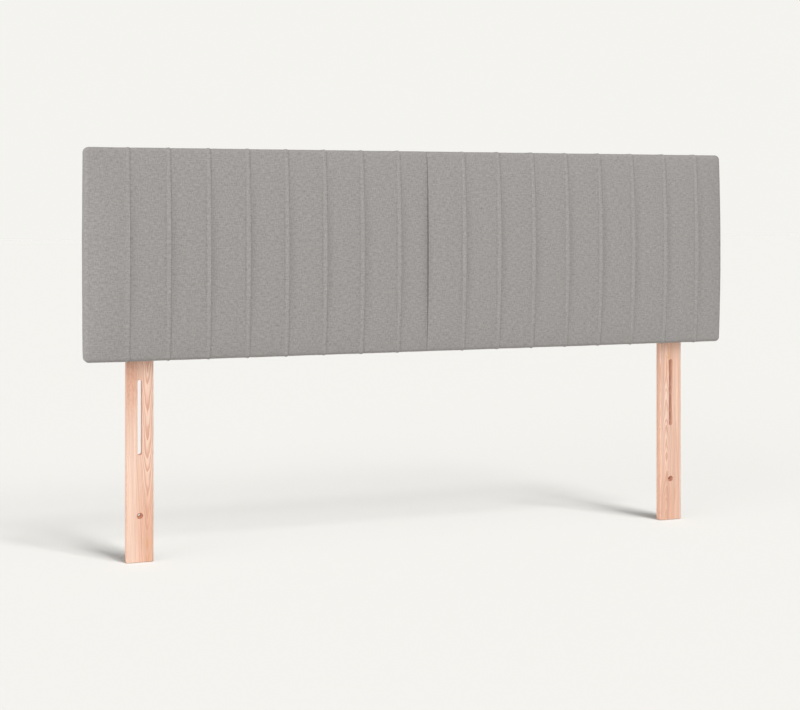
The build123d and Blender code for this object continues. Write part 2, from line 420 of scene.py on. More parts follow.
    def puckers(self, x: np.ndarray, z: np.ndarray, away: np.ndarray) -> np.ndarray:
        """Small gathers beside every seam: sine waves up it that fade exponentially beside it.

        Args:
            x: Places along the width, from the middle seam.
            z: Heights.
            away: Distance from the nearest tuck's seam.

        Returns:
            Height towards the viewer.
        """
        beside = np.exp(-np.abs(away) / self.pucker_reach) + np.exp(-np.abs(x) / self.pucker_reach)
        waver = self.pucker_waver * waves(x * 0, z, self.pucker_waver_length, self.pucker_seed)
        return self.pucker * beside * np.sin(math.tau * z / self.pucker_length + waver)


@dataclass
class ClothSim:
    """Cloth simulation that swells the strips between their seams, on a coarse grid."""

    spacing: float = 6 * MM
    pressure: float = 4.0
    frames: int = 20
    quality: int = 6
    mass: float = 0.3
    stretch_stiffness: float = 15.0
    shear_stiffness: float = 5.0
    bending_stiffness: float = 0.5
    air_damping: float = 4.0
    smallest: float = 0.001 * MM
    cap: float = 1.6 * MM
    depth: float = 0.9 * MM
    across_power: float = 0.7
    upward_power: float = 0.4

    def formula(self, x: np.ndarray, z: np.ndarray, lines: np.ndarray,
                panel: PanelSizes) -> np.ndarray:
        """Swell without a simulation: powers of half sines across each strip and up the panel.

        Args:
            x: Columns of the sheet.
            z: Rows of the sheet.
            lines: Places of the seams and of the two upright borders.
            panel: Sizes of the panel.

        Returns:
            Swell towards the viewer for each row and column.
        """
        place = np.clip(np.searchsorted(lines, x) - 1, 0, len(lines) - 2)
        share = (x - lines[place]) / (lines[place + 1] - lines[place])
        across = np.sin(math.pi * np.clip(share, 0, 1)) ** self.across_power
        upward = np.sin(math.pi * (z - panel.bottom) / panel.height) ** self.upward_power
        return self.depth * across[None, :] * upward[:, None]

    def sheet(self, name: str, x: np.ndarray, z: np.ndarray, lines: np.ndarray) -> bpy.types.Object:
        """A flat sheet whose points on a seam or a border are held.

        Args:
            name: Name of the half.
            x: Columns of the sheet.
            z: Rows of the sheet.
            lines: Places of the seams and of the two upright borders.

        Returns:
            The scratch object, with its held points in a vertex group.
        """
        across, upward = np.meshgrid(x, z)
        points = np.stack([across, np.zeros_like(across), upward], axis=-1).reshape(-1, 3)
        sheet = put_mesh(f"{name}_sheet", points, grid_faces(len(z), len(x)))
        held = np.zeros((len(z), len(x)), bool)
        held[:, np.abs(x[None, :] - lines[:, None]).min(axis=0) < self.spacing / 4] = True
        held[[0, -1], :] = True
        group = sheet.vertex_groups.new(name="held")
        group.add(np.flatnonzero(held.ravel()).tolist(), 1.0, "REPLACE")
        return sheet

    def run(self, name: str, x: np.ndarray, z: np.ndarray, lines: np.ndarray) -> np.ndarray:
        """Swell by cloth simulation of a flat sheet held at its seams and borders.

        Args:
            name: Name of the half, for the scratch object.
            x: Columns of the sheet; those on a seam are held.
            z: Rows of the sheet.
            lines: Places of the seams and of the two upright borders.

        Returns:
            Swell towards the viewer for each row and column, capped and scaled to its depth.
        """
        sheet = self.sheet(name, x, z, lines)
        cloth = sheet.modifiers.new("swell", "CLOTH")
        settings = cloth.settings
        settings.vertex_group_mass = "held"
        settings.quality = self.quality
        settings.mass = self.mass
        settings.tension_stiffness = self.stretch_stiffness
        settings.compression_stiffness = self.stretch_stiffness
        settings.shear_stiffness = self.shear_stiffness
        settings.bending_stiffness = self.bending_stiffness
        settings.air_damping = self.air_damping
        settings.use_pressure = True
        settings.uniform_pressure_force = self.pressure
        settings.effector_weights.gravity = 0
        cloth.point_cache.frame_start = 1
        cloth.point_cache.frame_end = self.frames
        scene = bpy.context.scene
        for number in range(1, self.frames + 1):
            scene.frame_set(number)
        moved = sheet.evaluated_get(bpy.context.evaluated_depsgraph_get())
        flat = np.empty(len(z) * len(x) * 3, np.float32)
        moved.to_mesh().vertices.foreach_get("co", flat)
        moved.to_mesh_clear()
        scene.frame_set(1)
        bpy.data.objects.remove(sheet)
        swell = np.abs(flat.reshape(len(z), len(x), 3)[..., 1].astype(float))
        log.info("%s: the simulated cloth swells %.2f mm at most", name, swell.max() / MM)
        return np.minimum(swell * self.depth / max(np.median(swell[swell > 0]), self.smallest), self.cap)


@dataclass
class CoverHalf:
    """One half of the fabric cover: its front with tucks, its edges and the margin behind."""

    side: Side
    panel: PanelSizes
    tucks: TuckSizes
    sim: ClothSim
    row_spacing: float = 3.6 * MM
    column_spacing: float = 6 * MM
    left_steps: Runs = ((1, 0.15 * MM), (8, 0.55 * MM), (5, 0.95 * MM), (4, 1.3 * MM))
    right_steps: Runs = ((1, 0.3 * MM), (5, 0.6 * MM), (4, 1.1 * MM), (3, 1.9 * MM))
    middle_steps: Runs = ((9, 0.5 * MM), (5, 1.4 * MM))
    back_radius: float = 1.6 * MM
    corner_steps: int = 8
    flat_steps: int = 2
    edge_steps: int = 9
    wall_steps: int = 4
    fold_steps: int = 4
    margin_steps: int = 5
    seam_gap: float = 0.06 * MM
    weld: float = 0.02 * MM
    fade_lead_share: float = 0.02
    uneven: tuple[tuple[float, float, int], ...] = ((0.12 * MM, 90 * MM, 11), (0.05 * MM, 20 * MM, 12))

    def columns(self) -> np.ndarray:
        """Places of the columns, close together where the cloth folds.

        Returns:
            Places from the middle seam to where the end's rounding starts, in rising order.
        """
        out = self.side.value
        end = out * (self.panel.right - self.panel.corner_radius)
        start = out * self.seam_gap
        beside = np.r_[-spaced(self.left_steps)[::-1], spaced(self.right_steps)]
        fine = (self.seams()[:, None] + beside[None, :]).ravel()
        middle = start + out * spaced(self.middle_steps)
        return fine_enough(np.unique(np.r_[start, fine, middle, end].round(7)), self.column_spacing)

    def rows(self) -> np.ndarray:
        """Heights of the rows between the roundings of the bottom and top corners.

        Returns:
            The heights in rising order, evenly spaced.
        """
        low = self.panel.bottom + self.panel.corner_radius
        high = self.panel.top - self.panel.corner_radius
        return np.linspace(low, high, round((high - low) / self.row_spacing) + 1)

    def seams(self) -> np.ndarray:
        """Places of this half's tuck seams."""
        return self.tucks.seams(self.panel, self.side)

    def swell(self) -> Grid:
        """Coarse grid of the swell between seams.

        Returns:
            Its columns, its rows and the swell at each.
        """
        ends = np.array([0.0, self.side.value * self.panel.right])
        lines = np.sort(np.r_[self.seams(), ends])
        parts = np.maximum(np.round(np.diff(lines) / self.sim.spacing).astype(int), 2)
        x = filled(lines, parts)
        steps = round(self.panel.height / self.sim.spacing)
        z = np.linspace(self.panel.bottom, self.panel.top, steps + 1)
        way = Swell.SIMULATED
        if way is Swell.SIMULATED:
            return x, z, self.sim.run(self.side.name.lower(), x, z, lines)
        return x, z, self.sim.formula(x, z, lines, self.panel)

    def sampled(self, grid: Grid, x: np.ndarray, z: np.ndarray) -> np.ndarray:
        """Values of a coarse grid at any places, mixed linearly both ways.

        Args:
            grid: Columns, rows and values of the grid.
            x: Places along the width.
            z: Heights.

        Returns:
            One value for each place.
        """
        xs, zs, values = grid
        column = np.clip(np.searchsorted(xs, x) - 1, 0, len(xs) - 2)
        row = np.clip(np.searchsorted(zs, z) - 1, 0, len(zs) - 2)
        a = np.clip((x - xs[column]) / (xs[column + 1] - xs[column]), 0, 1)
        b = np.clip((z - zs[row]) / (zs[row + 1] - zs[row]), 0, 1)
        low = mixed(values[row, column], values[row, column + 1], a)
        return mixed(low, mixed(values[row + 1, column], values[row + 1, column + 1], a), b)

    def relief(self, x: np.ndarray, z: np.ndarray, swell: Grid) -> np.ndarray:
        """Height of the cloth over the crowned padding: the sum of all that lifts it.

        Args:
            x: Places along the flat cloth.
            z: Heights on the flat cloth.
            swell: Coarse grid of the swell between seams.

        Returns:
            Height towards the viewer.
        """
        full = self.tucks.fullness(self.panel, z)
        seams = self.seams()
        nearest = np.abs(x[..., None] - seams).argmin(axis=-1)
        away = x - seams[nearest]
        first = ((nearest == 0) & (self.side is Side.LEFT)).astype(float)
        inset = np.minimum(x - self.panel.left, self.panel.right - x)
        height = self.tucks.relief(x, away, full, first) + self.tucks.middle(x, full)
        height = height + self.tucks.pillow(full, inset) + self.sampled(swell, x, z)
        height = height + self.tucks.puckers(x, z, away)
        for depth, length, seed in self.uneven:
            height = height + depth * waves(x, z, length, seed)
        return height

    def lean(self, x: np.ndarray, z: np.ndarray) -> np.ndarray:
        """Sideways shift of the cloth's columns: folds lean right where they are pulled flat.

        Args:
            x: Places along the flat cloth.
            z: Heights on the flat cloth.

        Returns:
            Shift to the right: a bell at each seam times how far its fold is closed.
        """
        near = bell(x[..., None] - self.seams(), self.tucks.lip_reach).sum(axis=-1)
        return self.tucks.lip_shift * (1 - self.tucks.fullness(self.panel, z)) * near

    def front(self, swell: Grid) -> tuple[np.ndarray, np.ndarray]:
        """The front, a height over each column and row.

        Args:
            swell: Coarse grid of the swell between seams.

        Returns:
            Its points and their flat coordinates, by row and column.
        """
        x, z = np.meshgrid(self.columns(), self.rows())
        y = self.panel.strip_y + self.panel.crown(x, z) - self.relief(x, z, swell)
        points = np.stack([x + self.lean(x, z), y, z], axis=-1)
        return points, np.stack([x, z], axis=-1)

    def path(self) -> Grid:
        """The line round the front on which the edge profile stands.

        It runs out along the top, round a quarter turn at the corner, down the end, round
        the lower corner and back along the bottom. At a corner its point stays and only
        the outward direction turns.

        Returns:
            Points (x, z), outward directions, and distances from the panel's other edges.
        """
        panel, out = self.panel, self.side.value
        columns, rows = self.columns()[::out], self.rows()[::-1]
        turn = np.linspace(0, math.pi / 2, self.corner_steps + 2)[1:-1]
        cut = len(turn)
        top = np.stack([columns, np.full_like(columns, rows[0])], axis=-1)
        end = np.stack([np.full_like(rows, columns[-1]), rows], axis=-1)
        low = np.stack([columns[::-1], np.full_like(columns, rows[-1])], axis=-1)
        upper_turn = np.stack([out * np.sin(turn), np.cos(turn)], axis=-1)
        lower_turn = np.stack([out * np.cos(turn), -np.sin(turn)], axis=-1)
        places = np.r_[top, np.repeat(top[-1:], cut, 0), end, np.repeat(low[:1], cut, 0), low]
        outward = np.r_[np.tile([0.0, 1.0], (len(top), 1)), upper_turn,
                        np.tile([float(out), 0.0], (len(end), 1)), lower_turn,
                        np.tile([0.0, -1.0], (len(low), 1))]
        corner = np.full(cut, panel.corner_radius)
        from_end = panel.right - np.abs(columns)
        from_edge = np.minimum(rows - panel.bottom, panel.top - rows)
        return places, outward, np.r_[from_end, corner, from_edge, corner, from_end[::-1]]

    def profile(self) -> np.ndarray:
        """Section through the edge.

        It leaves the crowned front, turns a quarter circle, runs back along the side, turns a
        small quarter circle and runs in behind the frame.

        Returns:
            For each point its offset out from the path, its Y behind the strips, the angle of
            the face's normal from the front, and the length of cloth used so far.
        """
        panel, radius = self.panel, self.back_radius
        out, depth = panel.corner_radius, panel.back_y - panel.strip_y
        flat = np.linspace(0, out - panel.edge_start, self.flat_steps + 1)[:-1]
        start = np.stack([flat, panel.crown_drop * panel.fall(out - flat),
                          panel.edge_slope * flat / flat[-1]], axis=-1)
        turn = np.linspace(panel.edge_slope, math.pi / 2, self.edge_steps)
        sunk = panel.edge_radius * (math.cos(panel.edge_slope) - np.cos(turn))
        rounded = np.stack([out - panel.edge_radius * (1 - np.sin(turn)),
                            panel.crown_drop + sunk, turn], axis=-1)
        wall_y = np.linspace(rounded[-1, 1], depth - radius, self.wall_steps + 1)[1:]
        wall = np.stack([np.full_like(wall_y, out), wall_y, np.full_like(wall_y, math.pi / 2)],
                        axis=-1)
        turn = np.linspace(math.pi / 2, math.pi, self.fold_steps + 1)[1:]
        fold = np.stack([out - radius * (1 - np.sin(turn)), depth - radius * (1 + np.cos(turn)),
                         turn], axis=-1)
        inner = np.linspace(fold[-1, 0], out - panel.margin_width, self.margin_steps + 1)[1:]
        margin = np.stack([inner, np.full_like(inner, depth), np.full_like(inner, math.pi)], axis=-1)
        section = np.r_[start, rounded, wall, fold, margin]
        steps = np.hypot(np.diff(section[:, 0]), np.diff(section[:, 1]))
        return np.c_[section, np.r_[0.0, np.cumsum(steps)]]

    def rim(self, swell: Grid) -> tuple[np.ndarray, np.ndarray]:
        """The edges and the margin: the profile carried along the path.

        The tucks' relief goes on along the profile's normal and dies out behind the edge.
        Behind the panel the corners are mitred: the offset there moves the path's points in
        along both directions alike.

        Args:
            swell: Coarse grid of the swell between seams.

        Returns:
            Its points and their flat coordinates, along the path and the profile.
        """
        panel = self.panel
        places, outward, crosswise = self.path()
        offset, fall, tilt, length = (column[None, :] for column in self.profile().T)
        x, z = places[:, :1], places[:, 1:]
        out_x, out_z = outward[:, :1], outward[:, 1:]
        crowned = panel.joined(panel.fall(crosswise)[:, None], panel.fall(panel.corner_radius - offset))
        depth = np.where(tilt <= panel.edge_slope + TINY, crowned, fall)
        flat_x, flat_z = x + out_x * length, z + out_z * length
        wide_x, wide_z = np.broadcast_to(x, flat_x.shape), np.broadcast_to(z, flat_x.shape)
        relief = self.relief(wide_x, np.clip(flat_z, panel.bottom, panel.top), swell)
        relief = relief * (1 - smooth(tilt / (math.pi / 2) - 1 + self.fade_lead_share))
        reach = np.maximum(offset, 0.0) + relief * np.sin(tilt)
        behind = np.minimum(offset, 0.0)
        half = np.abs(x).max()
        tall, middle_z = (z.max() - z.min()) / 2, (z.max() + z.min()) / 2
        point_x = x * (half + behind) / half + out_x * reach + self.lean(wide_x, wide_z)
        point_z = middle_z + (z - middle_z) * (tall + behind) / tall + out_z * reach
        point_y = panel.strip_y + depth - relief * np.cos(tilt)
        return np.stack([point_x, point_y, point_z], axis=-1), np.stack([flat_x, flat_z], axis=-1)

    def build(self) -> bpy.types.Object:
        """Make the half from its front and its rim, welded where they meet.

        Returns:
            The finished half, which stands for its node.
        """
        swell = self.swell()
        front, front_uv = self.front(swell)
        rim, rim_uv = self.rim(swell)
        rows, columns = front.shape[:2]
        steps, section = rim.shape[:2]
        points = np.r_[front.reshape(-1, 3), rim.reshape(-1, 3)]
        uv = np.r_[front_uv.reshape(-1, 2), rim_uv.reshape(-1, 2)]
        rim_faces = grid_faces(steps, section, rows * columns)
        rim_faces = rim_faces if self.side is Side.LEFT else rim_faces[:, ::-1]
        faces = np.r_[grid_faces(rows, columns), rim_faces]
        name = f"{self.side.name.lower()}_cover_fabric"
        piece = put_mesh(name, points, faces, uv, self.weld)
        add_wall(piece, self.panel.cloth_thickness)
        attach(piece, "headboard")
        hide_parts(f"{self.side.name.lower()}_cover")
        log.info("%s: %d faces", name, len(piece.data.polygons))
        return piece


@dataclass
class FoamPad:
    """Sheet of foam behind the cover: crowned, drawn in along the seams, flat at its back."""

    panel: PanelSizes
    tucks: TuckSizes
    behind_cloth: float = 1.1 * MM
    channel: float = 2.7 * MM
    channel_width: float = 5 * MM
    spacing: float = 5 * MM
    edge_steps: int = 6
    weld: float = 0.01 * MM

    def surface(self, x: np.ndarray, z: np.ndarray) -> np.ndarray:
        """Y of the foam's front: the crown, with a bell-shaped channel behind each seam.

        Args:
            x: Places along the width.
            z: Heights.

        Returns:
            The front's Y at each place.
        """
        seams = np.r_[self.tucks.seams(self.panel, Side.LEFT), 0.0,
                      self.tucks.seams(self.panel, Side.RIGHT)]
        away = np.abs(x[..., None] - seams).min(axis=-1)
        channels = self.channel * bell(away, self.channel_width)
        return self.panel.strip_y + self.behind_cloth + self.panel.crown(x, z) + channels

    def rings(self, front: np.ndarray, back_y: float, radius: float) -> np.ndarray:
        """Rounded rectangles from the front's outline round the edge to the back face.

        They step outwards round a quarter circle, back along the side and in again.

        Args:
            front: Points of the front, by row and column.
            back_y: Y of the pad's back.
            radius: Radius of its rounded edge.

        Returns:
            The points of each ring.
        """
        rim = np.r_[front[0], front[1:, -1], front[-1, -2::-1], front[-2::-1, 0]]
        place = rim[:, [0, 2]]
        out = (place >= place.max(axis=0) - TINY).astype(float) - (place <= place.min(axis=0) + TINY)
        out /= np.linalg.norm(out, axis=1, keepdims=True)
        turn = np.linspace(0, math.pi / 2, self.edge_steps)[1:]
        reach = np.r_[radius * np.sin(turn), radius, 0.0]
        points = np.empty((len(reach) + 1, len(rim), 3))
        points[0] = rim
        points[1:, :, [0, 2]] = place + out * reach[:, None, None]
        points[1:-2, :, 1] = rim[:, 1] + radius * (1 - np.cos(turn))[:, None]
        points[-2:, :, 1] = back_y
        return points

    def build(self) -> bpy.types.Object:
        """Make the pad from its front, its back over the same columns and rows, and its rings.

        Returns:
            The closed pad, which stands for its node.
        """
        low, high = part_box("foam_sheet")
        radius = self.panel.edge_radius - self.behind_cloth
        x = np.linspace(low.x + radius, high.x - radius, round((high.x - low.x) / self.spacing))
        z = np.linspace(low.z + radius, high.z - radius, round((high.z - low.z) / self.spacing))
        across, upward = np.meshgrid(x, z)
        front = np.stack([across, self.surface(across, upward), upward], axis=-1)
        back = np.stack([across, np.full_like(across, high.y), upward], axis=-1)[:, ::-1]
        rings = self.rings(front, high.y, radius)
        rows, columns = front.shape[:2]
        count = rows * columns
        faces = np.r_[grid_faces(rows, columns), grid_faces(rows, columns, count),
                      grid_faces(*rings.shape[:2], 2 * count)[:, ::-1]]
        points = np.r_[front.reshape(-1, 3), back.reshape(-1, 3), rings.reshape(-1, 3)]
        pad = put_mesh("foam_pad", points, faces, weld=self.weld)
        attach(pad, "headboard")
        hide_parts("foam_sheet")
        log.info("%s: %d faces", pad.name, len(pad.data.polygons))
        return pad


@dataclass
class BackingCloth:
    """Thin black cloth stapled over the frame's back, with holes for the leg bolts."""

    wave: float = 0.7 * MM
    overall_share: float = 0.12
    overall_length: float = 120 * MM
    overall_seed: int = 22
    edge_reach: float = 30 * MM
    staple_spacing: float = 92 * MM
    path_half_width: float = 36 * MM
    path_fade: float = 25 * MM
    hole_radius: float = 4.5 * MM
    spacing: float = 5 * MM
    fine_spacing: float = 1.5 * MM
    fine_steps: int = 6
    thickness: float = 0.3 * MM

    def lines(self, low: float, high: float, holes: np.ndarray) -> np.ndarray:
        """Grid lines between two ends, closer together round the holes.

        Args:
            low: Lower end.
            high: Upper end.
            holes: Middles of the holes.

        Returns:
            Places of the lines in rising order.
        """
        steps = np.arange(-self.fine_steps, self.fine_steps + 1) * self.fine_spacing
        near = (holes[:, None] + steps).ravel()
        return fine_enough(np.unique(np.r_[low, near, high].round(6)), self.spacing)

    def slack(self, x: np.ndarray, z: np.ndarray, low: np.ndarray, high: np.ndarray,
              legs: float) -> np.ndarray:
        """How far the cloth stands off: puckers between staples, and a soft overall wave.

        Between two staples it lifts by half of (1 - cos), fading exponentially inwards from
        the edge. It lies flat where the legs slide.

        Args:
            x: Places along the width.
            z: Heights.
            low: Left and bottom edges.
            high: Right and top edges.
            legs: Distance of the legs' bolts from the middle.

        Returns:
            Distance behind the flat cloth.
        """
        total = np.zeros_like(x)
        for along, across, axis in ((x, z, 0), (z, x, 1)):
            length = high[axis] - low[axis]
            step = length / max(round(length / self.staple_spacing), 1)
            lift = (1 - np.cos(math.tau * ((along - low[axis]) / step - 0.5))) / 2
            inwards = np.minimum(across - low[1 - axis], high[1 - axis] - across)
            total = np.maximum(total, lift * np.exp(-inwards / self.edge_reach))
        overall = waves(x, z, self.overall_length, self.overall_seed)
        total = total + self.overall_share * (1 + overall)
        from_leg = np.abs(np.abs(x) - legs)
        return self.wave * total * smooth((from_leg - self.path_half_width) / self.path_fade)

    def bolts(self) -> np.ndarray:
        """Places (x, z) of the leg bolts, from the boxes round their washers.

        Returns:
            One row for each bolt.
        """
        places = []
        for side in Side:
            low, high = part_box(f"{side.name.lower()}_leg_washers")
            middle, radius = (low.x + high.x) / 2, (high.x - low.x) / 2
            places += [(middle, low.z + radius), (middle, high.z - radius)]
        return np.array(places)

    def pierced(self, flat: np.ndarray, faces: np.ndarray,
                bolts: np.ndarray) -> tuple[np.ndarray, np.ndarray]:
        """Cut a round hole at each bolt: faces inside it go, its rim is drawn to a circle.

        Args:
            flat: Places (x, z) of the grid's points.
            faces: Corner numbers of its quads.
            bolts: Places of the bolts.

        Returns:
            The points and faces that are left.
        """
        centres = flat[faces].mean(axis=1)
        inside = np.linalg.norm(centres[:, None] - bolts, axis=-1).min(axis=1) < self.hole_radius
        rim = np.intersect1d(faces[inside], faces[~inside])
        apart = flat[rim][:, None] - bolts
        nearest = np.linalg.norm(apart, axis=-1).argmin(axis=1)
        away = apart[np.arange(len(rim)), nearest]
        flat[rim] = bolts[nearest] + away * self.hole_radius / np.linalg.norm(away, axis=1,
                                                                              keepdims=True)
        used, number = np.unique(faces[~inside], return_inverse=True)
        return flat[used], number.reshape(-1, 4)

    def build(self) -> bpy.types.Object:
        """Make the cloth as a grid over its node's face, pierced at each bolt.

        Returns:
            The cloth, which stands for its node.
        """
        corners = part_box("back_cloth")
        low, high = (np.array(corner)[[0, 2]] for corner in corners)
        bolts = self.bolts()
        x = self.lines(low[0], high[0], np.unique(bolts[:, 0]))
        z = self.lines(low[1], high[1], np.unique(bolts[:, 1].round(6)))
        across, upward = np.meshgrid(x[::-1], z)
        grid = np.stack([across.ravel(), upward.ravel()], axis=-1)
        flat, faces = self.pierced(grid, grid_faces(len(z), len(x)), bolts)
        lift = self.slack(flat[:, 0], flat[:, 1], low, high, np.abs(bolts[:, 0]).max())
        points = np.stack([flat[:, 0], corners[1].y + lift, flat[:, 1]], axis=-1)
        cloth = put_mesh("backing_cloth", points, faces, flat)
        add_wall(cloth, self.thickness)
        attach(cloth, "headboard")
        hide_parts("back_cloth")
        log.info("%s: %d faces", cloth.name, len(cloth.data.polygons))
        return cloth


@dataclass
class SeamThread:
    """Stitches of the middle seam, which show in its slit where the halves are drawn apart."""

    panel: PanelSizes
    tucks: TuckSizes
    pitch: float = 3.8 * MM
    length: float = 2.9 * MM
    radius: float = 0.28 * MM
    stand_off: float = 0.35 * MM
    dip: float = 0.5 * MM
    blunt_share: float = 0.02
    sides: int = 6
    steps: int = 6

    def points(self) -> np.ndarray:
        """Points of every stitch: a circle carried along a line that dips at its ends.

        With t from -1 to 1 along a stitch, the dip goes as t to the fourth, and the radius
        as the root of one less t to the sixth.

        Returns:
            Points by stitch, step and place on the circle.
        """
        panel = self.panel
        first = panel.bottom + panel.corner_radius + self.pitch / 2
        count = int((panel.height - 2 * panel.corner_radius) // self.pitch)
        along = np.linspace(-1, 1, self.steps)
        z = (first + self.pitch * np.arange(count))[:, None] + along * self.length / 2
        full = self.tucks.fullness(panel, z)
        floor = self.tucks.middle(np.zeros_like(z), full)
        floor = floor + self.tucks.pillow(full, np.full_like(z, panel.right))
        y = panel.strip_y + panel.crown(np.zeros_like(z), z) - floor - self.stand_off
        y = y + self.dip * along**4
        radius = self.radius * np.sqrt(np.clip(1 + self.blunt_share - along**6, 0, 1))
        turn = np.arange(self.sides) * math.tau / self.sides
        points = np.empty((count, self.steps, self.sides, 3))
        points[..., 0] = radius[None, :, None] * np.cos(turn)
        points[..., 1] = y[..., None] + radius[None, :, None] * np.sin(turn)
        points[..., 2] = z[..., None]
        return points

    def build(self) -> bpy.types.Object:
        """Make every stitch at once, each a closed tube.

        Returns:
            The row of stitches.
        """
        points = self.points()
        number = np.arange(self.steps * self.sides).reshape(self.steps, self.sides)
        after = np.roll(number, -1, axis=1)
        body = np.stack([number[:-1], after[:-1], after[1:], number[1:]], axis=-1).reshape(-1, 4)
        shift = np.arange(len(points))[:, None, None] * number.size
        caps = [start + end for start in shift.ravel() for end in (number[0, ::-1], number[-1])]
        thread = put_mesh("middle_seam_thread", points.reshape(-1, 3),
                          (body[None] + shift).reshape(-1, 4), caps=tuple(caps))
        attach(thread, "headboard")
        log.info("%s: %d stitches", thread.name, len(points))
        return thread


@dataclass(frozen=True)
class Pattern:
    """A noise pattern: its scale, its detail, and how its coordinates are stretched and shifted."""

    scale: float
    detail: float = 2.0
    stretch: Triple = (1, 1, 1)
    shift: Triple = (0, 0, 0)

    def laid(self, grain: Grain) -> "Pattern":
        """The pattern of an upright board, turned with the grain."""
        return self if grain is Grain.UPRIGHT else replace(self, stretch=self.stretch[::-1])


def full_colour(value: object) -> object:
    """A colour with its fourth part, or the socket it was given."""
    return (*value, 1) if isinstance(value, tuple) and len(value) == 3 else value


class Nodes:
    """Short calls that add nodes to one node tree."""

    def __init__(self, tree: bpy.types.NodeTree) -> None:
        """Empty the tree of a material or of the world."""
        self.tree = tree
        tree.nodes.clear()

    def feed(self, socket: Socket, value: object) -> None:
        """Set a socket to a value, or link it to another socket.

        Args:
            socket: The input that is fed.
            value: A value, an output socket, or None to leave the input as it is.
        """
        if isinstance(value, bpy.types.NodeSocket):
            self.tree.links.new(value, socket)
        elif value is not None:
            socket.default_value = value

    def add(self, kind: str, inputs: dict | None = None, output: object = 0,
            **settings: object) -> Socket:
        """Add a node.

        Args:
            kind: Node type, without its ShaderNode prefix.
            inputs: Values or sockets for its inputs, by name or number.
            output: Name or number of the output that is returned.
            **settings: The node's own properties.

        Returns:
            The chosen output socket.
        """
        node = self.tree.nodes.new("ShaderNode" + kind)
        for key, value in settings.items():
            setattr(node, key, value)
        for key, value in (inputs or {}).items():
            self.feed(node.inputs[key], value)
        return node.outputs[output]

    def math(self, operation: str, a: object, b: object = None, c: object = None) -> Socket:
        """Sum, product or other function of up to three values."""
        return self.add("Math", {0: a, 1: b, 2: c}, operation=operation)

    def times(self, a: object, b: object) -> Socket:
        """Product of two values."""
        return self.math("MULTIPLY", a, b)

    def swayed(self, base: object, noise: Socket, amount: float) -> Socket:
        """A base value, moved by an amount times how far a noise lies from one half."""
        return self.math("MULTIPLY_ADD", self.math("SUBTRACT", noise, 0.5), amount, base)

    def ripples(self, value: Socket, length: float) -> Socket:
        """Sine waves of a given length along a value."""
        return self.math("SINE", self.times(value, math.tau / length))

    def split(self, place: Socket) -> list[Socket]:
        """The three parts of a place."""
        return list(self.add("SeparateXYZ", {0: place}).node.outputs)

    def object_place(self) -> Socket:
        """The place on the object, in metres."""
        return self.add("TexCoord", output="Object")

    def noise(self, place: Socket, pattern: Pattern) -> Socket:
        """Noise about one half, on stretched and shifted coordinates.

        Args:
            place: The coordinates.
            pattern: The noise's scale, detail, stretch and shift.

        Returns:
            The noise's value.
        """
        moved = self.add("Mapping", {"Vector": place, "Scale": pattern.stretch,
                                     "Location": pattern.shift})
        return self.add("TexNoise", {"Vector": moved, "Scale": pattern.scale,
                                     "Detail": pattern.detail})

    def span(self, value: Socket, start: float, end: float, low: float = 0.0,
             high: float = 1.0) -> Socket:
        """A smooth climb from low, where the value is at its start, to high at its end."""
        inputs = {"Value": value, "From Min": start, "From Max": end, "To Min": low, "To Max": high}
        return self.add("MapRange", inputs, interpolation_type="SMOOTHSTEP")

    def bell(self, value: Socket, middle: float, width: float) -> Socket:
        """One at the middle, falling as exp of minus the square of the distance over the width."""
        away = self.math("DIVIDE", self.math("SUBTRACT", value, middle), width)
        return self.math("EXPONENT", self.times(self.times(away, away), -1))

    def tinted(self, colour: object, tone: object) -> Socket:
        """A colour times a tone."""
        return self.add("VectorMath", {0: colour, "Scale": tone}, operation="SCALE")

    def mix(self, share: object, a: object, b: object) -> Socket:
        """Mix two colours."""
        inputs = {0: share, 6: full_colour(a), 7: full_colour(b)}
        return self.add("Mix", inputs, output=2, data_type="RGBA")

    def seen(self) -> Socket:
        """Tell what is looked at from what only lights.

        Returns:
            One for rays from the camera, from a reflection or through glass, else nought.
        """
        path = self.tree.nodes.new("ShaderNodeLightPath").outputs
        mirrored = self.math("MAXIMUM", path["Is Glossy Ray"], path["Is Transmission Ray"])
        return self.math("MAXIMUM", path["Is Camera Ray"], mirrored)


class Shader(Nodes):
    """A material under construction round one Principled shader."""

    def __init__(self, name: str) -> None:
        """Start an empty material.

        Args:
            name: Name of the material.
        """
        self.material = bpy.data.materials.new(name)
        self.material.use_nodes = True
        super().__init__(self.material.node_tree)
        self.surface = self.add("BsdfPrincipled").node
        output = self.tree.nodes.new("ShaderNodeOutputMaterial")
        self.feed(output.inputs["Surface"], self.surface.outputs["BSDF"])

    def bump(self, height: Socket, distance: float, strength: float = 1.0) -> None:
        """Give the surface a relief of a real height in metres."""
        normal = self.add("Bump", {"Height": height, "Distance": distance, "Strength": strength})
        self.feed(self.surface.inputs["Normal"], normal)

    def finish(self, **inputs: object) -> bpy.types.Material:
        """Set the shader's own sockets and hand over the material.

        Args:
            **inputs: Values or sockets, by the sockets' names with underscores for spaces.

        Returns:
            The finished material.
        """
        for key, value in inputs.items():
            self.feed(self.surface.inputs[key.replace("_", " ")], full_colour(value))
        return self.material


